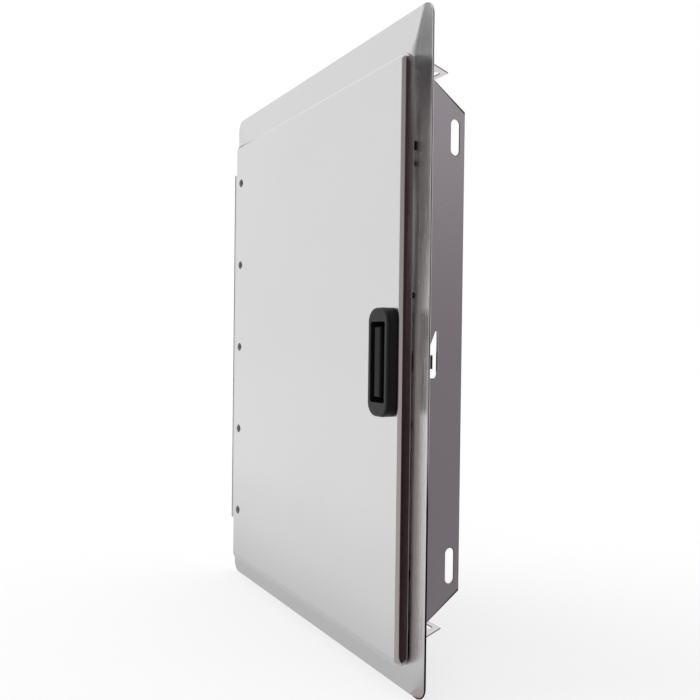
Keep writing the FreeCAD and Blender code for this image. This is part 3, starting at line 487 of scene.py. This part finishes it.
def pan_head_screw(length):
    """Cross-recessed screw along Y, its head's seat at zero and its shank towards -Y."""
    crest, root, pitch, neck = 1.5, 1.22, 0.5, 1.0
    recess_rim, recess_depth = 1.8, 1.2
    thread = []
    for turn in range(int((length - 2 * neck) / pitch)):
        thread += [(crest, -neck - pitch * turn), (root, -neck - pitch * (turn + 0.5))]
    shape = turned([(0, -length), (0.7, -length), *reversed(thread), (1.3, -0.6), (crest, 0), (2.7, 0),
                    (2.8, 0.15), (2.8, 1.0), (2.7, 1.4), (2.45, 1.75), (2.1, 1.95),
                    (recess_rim, SCREW_HEAD_HEIGHT)])
    cross_recess(shape, recess_rim, SCREW_HEAD_HEIGHT, recess_depth)
    return shape


def blind_rivet():
    """Pulled rivet along Y: dished head with the broken mandrel in its hole, and a swollen tail. Its seat is
    at zero."""
    return turned([(0, 0.30), (0.55, 0.28), (0.72, 0.16), (0.80, 0.05), (0.95, 0.05), (1.0, 0.55),
                   (1.2, 0.70), (1.9, 0.66), (2.6, 0.45), (2.95, 0.18), (3.0, 0.05), (2.95, 0), (1.55, 0),
                   (1.55, -1.8), (1.85, -1.95), (2.1, -2.4), (2.1, -2.8), (1.85, -3.2), (1.2, -3.4),
                   (0, -3.4)])


def domed_rivet():
    """Solid rivet along Y with its domed head towards -Y, its neck at zero and a squeezed tail."""
    return turned([(0, -2.0), (0.9, -1.97), (1.9, -1.78), (2.9, -1.38), (3.8, -0.82), (4.6, -0.30),
                   (4.9, -0.10), (5.0, 0), (1.95, 0), (1.95, 2.0), (2.6, 2.0), (2.9, 2.4), (2.8, 3.4),
                   (2.4, 4.4), (1.9, 5.0), (0, 5.0)], segments=40)


def weld_mark():
    """Ring and dimple that a spot welder's tip leaves, seen from +Y. The sheet's face is at zero."""
    return turned([(0, 0.03), (1.5, 0.03), (2.0, 0.09), (2.5, 0.10), (2.9, 0.05), (3.1, -0.02), (3.1, -0.06),
                   (0, -0.06)], segments=28)


def repeated(master, places, shape=None):
    """Copies of one shape, moved to each place, in a new shape or added to another."""
    pattern = bpy.data.meshes.new("pattern")
    master.to_mesh(pattern)
    master.free()
    if shape is None:
        shape = bmesh.new()
    for place in places:
        first = len(shape.verts)
        shape.from_mesh(pattern)
        shape.verts.ensure_lookup_table()
        bmesh.ops.translate(shape, verts=shape.verts[first:], vec=place)
    bpy.data.meshes.remove(pattern)
    return shape


def at_solids(master, name, y):
    """Copies of one shape, in the middle of each solid of a node and with its zero at y."""
    places = [((low.x + high.x) / 2, y, (low.z + high.z) / 2) for low, high in solid_boxes(name)]
    return repeated(master, places)


def weld_marks():
    """Spot welds between the end walls' feet and the face frame, on both faces of the joint."""
    foot_rear = 0.0
    row = (END_WALL_LOW.z + END_WALL_HIGH.z) / 2
    behind = [(x * MM, foot_rear, z) for z in (-row, row) for x in range(-150, 151, 50)]
    in_front = [(x, FRAME_LOW.y, z) for x, _, z in behind]
    facing_out = weld_mark()
    bmesh.ops.rotate(facing_out, verts=facing_out.verts, cent=(0, 0, 0), matrix=Matrix.Rotation(pi, 3, "Z"))
    return repeated(facing_out, in_front, repeated(weld_mark(), behind))


def new_object(name, shape, material):
    """Object of a finished shape, in the scene."""
    mesh = bpy.data.meshes.new(name)
    shape.to_mesh(mesh)
    shape.free()
    mesh.materials.append(material)
    made = bpy.data.objects.new(name, mesh)
    bpy.context.scene.collection.objects.link(made)
    return made


def fitted_piece(name, shape, material, body, slot, *replaced):
    bmesh.ops.recalc_face_normals(shape, faces=shape.faces)
    piece = new_object(name, shape, material)
    piece.data.shade_smooth()
    piece.data.set_sharp_from_angle(angle=radians(SHARP_ANGLE))
    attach(piece, body)
    if replaced:
        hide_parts(*replaced)


back_plate_screw = pan_head_screw(BACK_PLATE_SCREW_LENGTH)
blade_screw = pan_head_screw(BLADE_SCREW_LENGTH)
blade_screw_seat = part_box("slide_screw")[1].y - SCREW_HEAD_HEIGHT * MM
fitted_piece("blind_rivets", at_solids(blind_rivet(), "liner_rivets", DOOR_HIGH.y),
             rivet_steel, "door", "plain_steel", "liner_rivets")
fitted_piece("dome_head_rivets", at_solids(domed_rivet(), "door_hinge_rivets", DOOR_LOW.y),
             dark_rivet_steel, "door", "plain_steel", "door_hinge_rivets")
fitted_piece("back_plate_screws", at_solids(back_plate_screw, "latch_screws", PLATE_REAR),
             rivet_steel, "door", "plain_steel", "latch_screws")
fitted_piece("blade_screw", at_solids(blade_screw, "slide_screw", blade_screw_seat),
             rivet_steel, "latch_slide", "plain_steel", "slide_screw")
fitted_piece("spot_weld_marks", weld_marks(), wall_sheet, "frame", "brushed_stainless")


# Studio

WHITE = (1.0, 1.0, 1.0, 1.0)
FLOOR = FRAME_LOW.z - 0.5 * MM
FLOOR_HALF_WIDTH = 6.0
FLOOR_PAPER = (0.44, 0.44, 0.44, 1.0)
FLOOR_GLOW = 0.58
SURROUNDINGS_LIGHT = 0.8
LAMP_SPREAD = 50

# Cards that only mirrors see: a point of the upright line that they bend round, how low they and the floor's
# shade lie, and sections as pairs of distance from that line and height
CARD_CENTRE = Vector((0.19, 0, 0))
CARD_STEPS = 16
CARD_FOOT = FLOOR + 0.2 * MM
SHADE_HEIGHT = FLOOR + 0.1 * MM
LOW_SECTION = [(0.004, CARD_FOOT), (1.25, CARD_FOOT), (1.25, 1.4)]
TALL_SECTION = LOW_SECTION + [(0.4, 2.2)]
FAR_SECTION = [(5.0, 1.2), (5.0, 2.42)]

# Tones of the cards from the foot of a section to its top, and of the floor's painted shadow from far to near
FRONT_TONES = [(0.0, (0.50, 0.445, 0.435)), (0.11, (0.43, 0.385, 0.375)), (0.3, (0.36, 0.335, 0.325)),
               (0.68, (0.30, 0.29, 0.28)), (1.0, (0.34, 0.31, 0.30))]
LENS_TONES = [(0.0, (0.030, 0.014, 0.016)), (0.12, (0.036, 0.020, 0.021)), (0.4, (0.055, 0.034, 0.036)),
              (0.68, (0.07, 0.045, 0.048)), (1.0, (0.16, 0.13, 0.125))]
RIGHT_TONES = [(0.0, (0.28, 0.25, 0.27)), (0.18, (0.29, 0.26, 0.28)), (0.27, (0.32, 0.29, 0.31)),
               (0.36, (0.38, 0.35, 0.37)), (0.47, (0.46, 0.43, 0.46)), (0.7, (0.50, 0.48, 0.50))]
LEFT_TONES = [(0.0, (0.035, 0.02, 0.015)), (1.0, (0.035, 0.02, 0.015))]
FLOOR_TONES = [(0.0, (1.0, 1.0, 1.0)), (0.6, (0.92, 0.91, 0.92)), (0.84, (0.78, 0.77, 0.78)),
               (0.93, (0.67, 0.66, 0.67)), (1.0, (0.66, 0.65, 0.66))]


def seen_directly(finish):
    """One for what the lens, a mirror or clear glass shows, zero for light that falls on things."""
    camera, glossy, transmission = (finish.node("ShaderNodeLightPath", output=f"Is {kind} Ray")
                                    for kind in ("Camera", "Glossy", "Transmission"))
    return camera.at_least(glossy).at_least(transmission)


def floor_material():
    """Pale paper that keeps shadows. To the lens and in reflections a little brightness is added, so that the
    open floor is as white as the surroundings."""
    finish = new_finish("pale_floor")
    paper = finish.node("ShaderNodeBsdfDiffuse", {"Color": FLOOR_PAPER})
    glow = finish.node("ShaderNodeEmission", {"Color": WHITE, "Strength": seen_directly(finish) * FLOOR_GLOW})
    finish.show(finish.node("ShaderNodeAddShader", {0: paper, 1: glow}))
    return finish.owner


def white_surroundings():
    """World: white to the lens and in reflections, softer as light."""
    finish = Finish(bpy.data.worlds.new("white_surroundings"))
    strength = seen_directly(finish) * (1 - SURROUNDINGS_LIGHT) + SURROUNDINGS_LIGHT
    background = finish.node("ShaderNodeBackground", {"Color": WHITE, "Strength": strength})
    finish.show(background, "ShaderNodeOutputWorld")
    bpy.context.scene.world = finish.owner


def stage_piece(name, shape, material):
    piece = new_object(name, shape, material)
    return piece


def studio_floor():
    shape = bmesh.new()
    bmesh.ops.create_grid(shape, x_segments=1, y_segments=1, size=FLOOR_HALF_WIDTH)
    bmesh.ops.translate(shape, verts=shape.verts, vec=(0, 0, FLOOR))
    stage_piece("floor", shape, floor_material())


def reflected_only(name, shape, axis, first, last, tones):
    """Glowing stage piece that only mirrors see, with its tones spread along one axis."""
    finish = new_finish(name)
    limits = {"From Min": first, "From Max": last}
    share = finish.node("ShaderNodeMapRange", {"Value": finish.along(axis), **limits})
    tone = finish.node("ShaderNodeValToRGB", {0: share}, stops=tones)
    finish.show(finish.node("ShaderNodeEmission", {"Color": tone, "Strength": 1.0}))
    card = stage_piece(name, shape, finish.owner)
    for kind in ("camera", "diffuse", "shadow", "transmission", "volume_scatter"):
        setattr(card, f"visible_{kind}", False)


def bent_card(name, first_turn, last_turn, section, tones):
    """Card bent round the object's right edge, between two turns in degrees, counted from straight in front
    towards the right."""
    shape = bmesh.new()
    verts = [shape.verts.new(CARD_CENTRE + Vector((0, -away, height))) for away, height in section]
    edges = [shape.edges.new(pair) for pair in zip(verts, verts[1:])]
    start = Matrix.Rotation(radians(first_turn), 3, "Z")
    bmesh.ops.rotate(shape, verts=verts, cent=CARD_CENTRE, matrix=start)
    bmesh.ops.spin(shape, geom=verts + edges, cent=CARD_CENTRE, axis=(0, 0, 1),
                   angle=radians(last_turn - first_turn), steps=CARD_STEPS)
    heights = [height for _, height in section]
    reflected_only(name, shape, "Z", min(heights), max(heights), tones)


def floor_shade(name, left, right, far, near, tones):
    """Painted shadow on the floor in front of the object: a darker sheet that shows only in reflections."""
    shape = bmesh.new()
    bmesh.ops.create_grid(shape, x_segments=1, y_segments=1, size=0.5)
    bmesh.ops.scale(shape, verts=shape.verts, vec=(right - left, near - far, 1))
    middle = Vector(((left + right) / 2, (far + near) / 2, SHADE_HEIGHT))
    bmesh.ops.translate(shape, verts=shape.verts, vec=middle)
    reflected_only(name, shape, "Y", far, near, tones)


def soft_lamp(name, direction, strength):
    """Broad even light, as from a large cloth. It shows in no reflection."""
    data = bpy.data.lights.new(name, "SUN")
    data.energy = strength
    data.angle = radians(LAMP_SPREAD)
    lamp = bpy.data.objects.new(name, data)
    lamp.matrix_world = Vector(direction).to_track_quat("-Z", "Y").to_matrix().to_4x4()
    lamp.visible_glossy = False
    bpy.context.scene.collection.objects.link(lamp)


def photo_camera():
    data = bpy.data.cameras.new("photo_view")
    data.sensor_width = SENSOR_WIDTH
    data.lens = VIEW_LENS
    camera = bpy.data.objects.new("photo_view", data)
    turn, rise, roll = (Matrix.Rotation(radians(angle), 4, axis) for angle, axis in
                        ((VIEW_TURN, "Z"), (90 + VIEW_RISE, "X"), (VIEW_ROLL, "Z")))
    camera.matrix_world = Matrix.Translation(VIEW_PLACE) @ turn @ rise @ roll
    bpy.context.scene.collection.objects.link(camera)
    bpy.context.scene.camera = camera


photo_camera()
white_surroundings()
studio_floor()
soft_lamp("front_left_cloth", (0.55, 0.60, -0.58), 1.0)
bent_card("mid_grey_card_in_front", -30, 54, TALL_SECTION, FRONT_TONES)
bent_card("dark_card_by_the_lens", 54, 112, TALL_SECTION, LENS_TONES)
bent_card("grey_card_at_the_right", 112, 160, LOW_SECTION, RIGHT_TONES)
# Painted shadow of the object on the floor, seen only in reflections
floor_shade("painted_floor_shadow_in_front", -0.9, 0.3, -0.34, 0.0, FLOOR_TONES)
bent_card("grey_card_high_on_the_left", -114, -85, FAR_SECTION, LEFT_TONES)

bpy.context.scene.view_settings.view_transform = "Standard"
